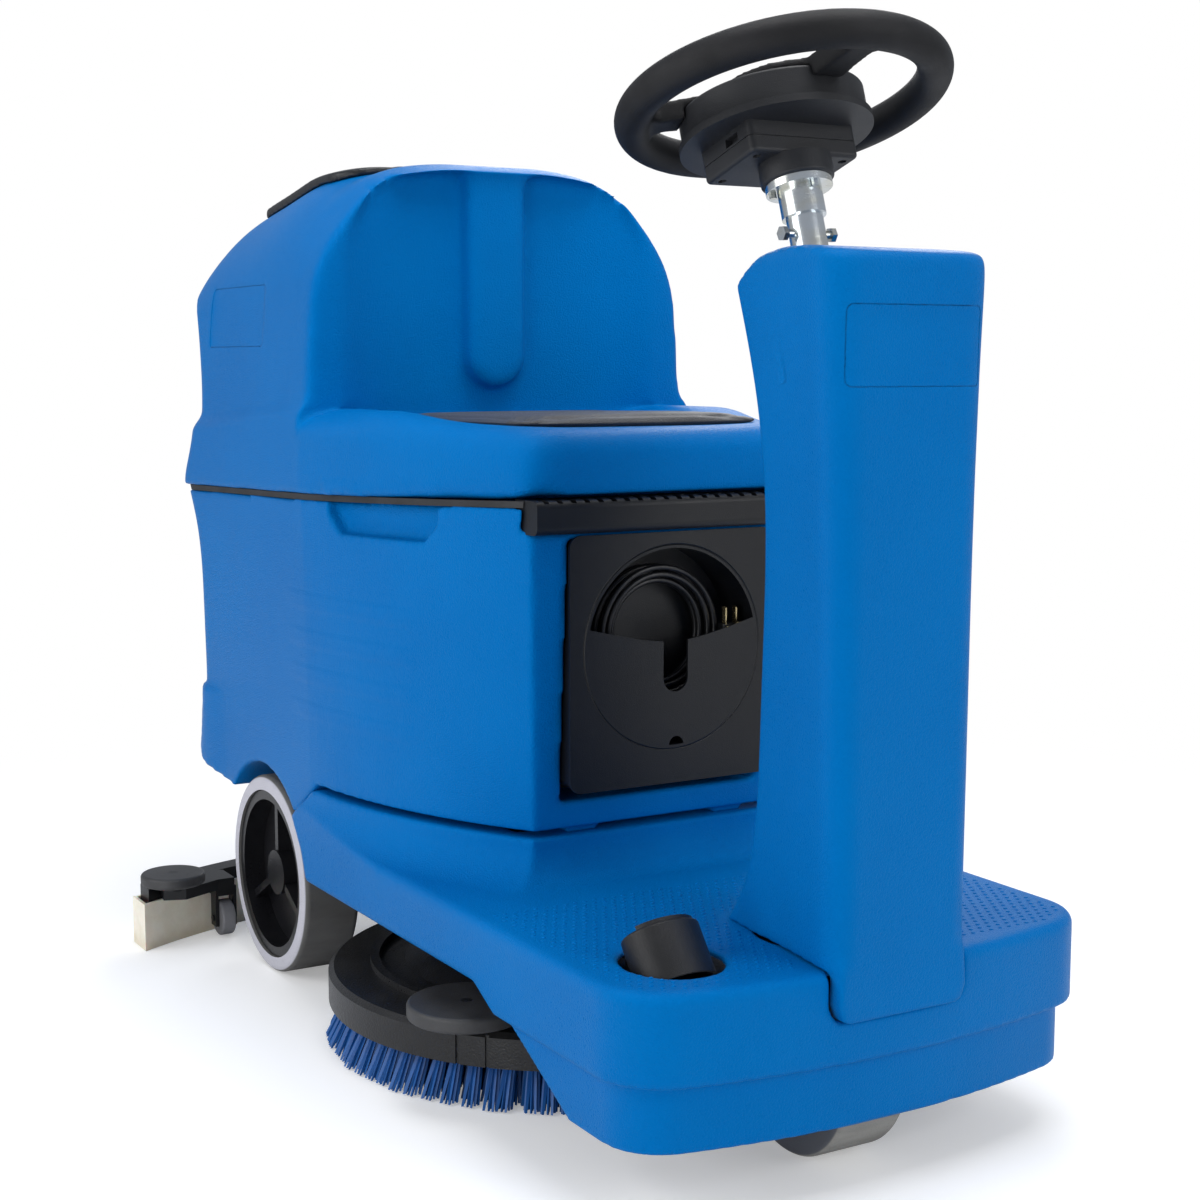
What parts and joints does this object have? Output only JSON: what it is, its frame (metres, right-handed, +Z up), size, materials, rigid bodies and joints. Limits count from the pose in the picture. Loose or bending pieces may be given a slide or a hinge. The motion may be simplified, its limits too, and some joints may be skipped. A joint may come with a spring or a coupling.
{
  "type": "ride-on floor scrubber",
  "caption": "Compact ride-on floor scrubber: moulded tanks with a seat, a steering column on a platform, a round brush deck and a curved squeegee.",
  "frame": {"origin": "on the floor, under the middle of the machine's length and width", "axes": "+Z up, the machine faces -Y, the driver's left is +X"},
  "size_m": [0.728, 1.194, 1.0385],
  "materials": {
    "blue_plastic": "rotationally moulded, fine orange peel",
    "black_plastic": "satin moulded",
    "dark_grey_plastic": "satin moulded",
    "seat_cover": "fine grain",
    "zinc_steel": "bright zinc plate",
    "black_steel": "powder coat",
    "motor_case": "as cast",
    "grey_tyre": "non-marking rubber",
    "black_rubber": "matt",
    "squeegee_rubber": "natural gum",
    "bristle": "polypropylene tufts",
    "battery_case": "moulded case",
    "brass": "nickelled",
    "cord_jacket": "matt sheath"
  },
  "bodies": {
    "chassis": {"platform_shell": "blue_plastic", "column_shell": "blue_plastic", "main_frame": "black_steel", "rear_axle": "zinc_steel", "slew_ring": "zinc_steel", "solution_tank": "blue_plastic", "battery_left": "battery_case", "battery_right": "battery_case", "vacuum_motor": "black_plastic", "front_panel": "black_plastic", "pocket_cover": "black_plastic", "seat_trim": "black_plastic", "charger": "black_plastic", "tank_seal": "black_rubber", "pedal_bracket": "zinc_steel", "pole_bushing": "black_plastic", "tank_hinge_pins": "zinc_steel", "charger_cord": "cord_jacket", "charger_cord_coil": "cord_jacket", "charger_plug": "black_plastic", "plug_blades": "brass", "cord_grommet": "black_rubber"},
    "recovery": {"recovery_tank": "blue_plastic", "seat_pad": "seat_cover", "float_cage": "black_plastic"},
    "lid": {"tank_lid": "dark_grey_plastic"},
    "steering": {"steering_wheel": "black_plastic", "console_drum": "black_plastic", "console_box": "black_plastic", "console_screws": "zinc_steel", "steering_pole": "zinc_steel", "pole_flange": "zinc_steel", "pole_bolts": "zinc_steel"},
    "key": {"ignition_key": "zinc_steel"},
    "knob": {"speed_knob": "black_plastic"},
    "horn": {"horn_button": "dark_grey_plastic"},
    "brush_switch": {"brush_button": "dark_grey_plastic"},
    "fork": {"steer_fork": "black_steel", "drive_motor": "motor_case"},
    "drive_wheel": {"drive_tyre": "grey_tyre", "drive_hub": "black_plastic"},
    "wheel_left": {"rear_tyre_left": "grey_tyre", "rear_hub_left": "black_plastic"},
    "wheel_right": {"rear_tyre_right": "grey_tyre", "rear_hub_right": "black_plastic"},
    "pedal": {"drive_pedal": "black_plastic"},
    "brush_arm": {"lift_arms": "black_steel"},
    "deck": {"deck_housing": "black_plastic", "brush_motor": "motor_case"},
    "brush": {"brush_block": "black_plastic", "bristles": "bristle"},
    "deck_wheel": {"deck_roller": "black_plastic"},
    "squeegee_swivel": {"squeegee_pivot": "black_steel"},
    "squeegee": {"squeegee_arm": "black_plastic", "squeegee_body": "black_plastic", "squeegee_blades": "squeegee_rubber"},
    "guide_left": {"guide_roller_left": "black_plastic"},
    "guide_right": {"guide_roller_right": "black_plastic"},
    "caster_left": {"squeegee_caster_left": "grey_tyre"},
    "caster_right": {"squeegee_caster_right": "grey_tyre"}
  },
  "joints": [
    {"name": "tank_tip", "type": "hinge", "parent": "chassis", "child": "recovery", "pos_m": [0, 0.589, 0.5775], "axis": [-1, 0, 0], "range_deg": [0, 75]},
    {"name": "lid_open", "type": "hinge", "parent": "recovery", "child": "lid", "pos_m": [0, 0.238, 0.97], "axis": [1, 0, 0], "range_deg": [0, 80]},
    {"name": "steering_turn", "type": "hinge", "parent": "chassis", "child": "steering", "pos_m": [0, -0.398, 0.978], "axis": [0, 0.309, 0.9511], "range_deg": [-80, 80]},
    {"name": "fork_turn", "type": "hinge", "parent": "chassis", "child": "fork", "pos_m": [0, -0.472, 0.19], "axis": [0, 0, 1], "range_deg": [-80, 80]},
    {"name": "key_turn", "type": "hinge", "parent": "steering", "child": "key", "pos_m": [0.04, -0.31621, 0.95142], "axis": [0, 0.309, 0.9511], "range_deg": [0, 60]},
    {"name": "speed_turn", "type": "hinge", "parent": "steering", "child": "knob", "pos_m": [0, -0.31431, 0.95081], "axis": [0, 0.309, 0.9511], "range_deg": [-140, 140]},
    {"name": "horn_press", "type": "slide", "parent": "steering", "child": "horn", "axis": [0, -0.309, -0.9511], "range_m": [0, 0.0025], "stiffness_N_per_m": 400},
    {"name": "brush_press", "type": "slide", "parent": "steering", "child": "brush_switch", "axis": [0, -0.309, -0.9511], "range_m": [0, 0.0025], "stiffness_N_per_m": 400},
    {"name": "drive_spin", "type": "hinge", "parent": "fork", "child": "drive_wheel", "pos_m": [0, -0.472, 0.09], "axis": [1, 0, 0], "continuous": true},
    {"name": "rear_spin_left", "type": "hinge", "parent": "chassis", "child": "wheel_left", "pos_m": [0.217, 0.304, 0.12], "axis": [1, 0, 0], "continuous": true},
    {"name": "rear_spin_right", "type": "hinge", "parent": "chassis", "child": "wheel_right", "pos_m": [-0.217, 0.304, 0.12], "axis": [1, 0, 0], "continuous": true},
    {"name": "pedal_press", "type": "hinge", "parent": "chassis", "child": "pedal", "pos_m": [-0.172, -0.434, 0.193], "axis": [1, 0, 0], "range_deg": [0, 8], "stiffness_Nm_per_rad": 6},
    {"name": "arm_lift", "type": "hinge", "parent": "chassis", "child": "brush_arm", "pos_m": [-0.04, 0.154, 0.172], "axis": [-1, 0, 0], "range_deg": [0, 11]},
    {"name": "deck_level", "type": "hinge", "parent": "brush_arm", "child": "deck", "pos_m": [-0.04, 0.008, 0.132], "axis": [-1, 0, 0], "range_deg": [-11, 0]},
    {"name": "brush_spin", "type": "hinge", "parent": "deck", "child": "brush", "pos_m": [-0.04, -0.061, 0.065], "axis": [0, 0, 1], "continuous": true},
    {"name": "deck_roller_spin", "type": "hinge", "parent": "deck", "child": "deck_wheel", "pos_m": [-0.24, -0.211, 0.099], "axis": [0, 0, 1], "continuous": true},
    {"name": "squeegee_swing", "type": "hinge", "parent": "chassis", "child": "squeegee_swivel", "pos_m": [0, 0.364, 0.14], "axis": [0, 0, 1], "range_deg": [-12, 12]},
    {"name": "squeegee_lift", "type": "hinge", "parent": "squeegee_swivel", "child": "squeegee", "pos_m": [0, 0.364, 0.1], "axis": [1, 0, 0], "range_deg": [0, 8]},
    {"name": "guide_spin_left", "type": "hinge", "parent": "squeegee", "child": "guide_left", "pos_m": [0.324, 0.449, 0.091], "axis": [0, 0, 1], "continuous": true},
    {"name": "guide_spin_right", "type": "hinge", "parent": "squeegee", "child": "guide_right", "pos_m": [-0.324, 0.449, 0.091], "axis": [0, 0, 1], "continuous": true},
    {"name": "caster_spin_left", "type": "hinge", "parent": "squeegee", "child": "caster_left", "pos_m": [0.25, 0.472, 0.024], "axis": [1, 0, 0], "continuous": true},
    {"name": "caster_spin_right", "type": "hinge", "parent": "squeegee", "child": "caster_right", "pos_m": [-0.25, 0.472, 0.024], "axis": [1, 0, 0], "continuous": true}
  ],
  "couplings": [
    {"joint": "fork_turn", "follows": "steering_turn", "ratio": 1},
    {"joint": "deck_level", "follows": "arm_lift", "ratio": -1}
  ]
}
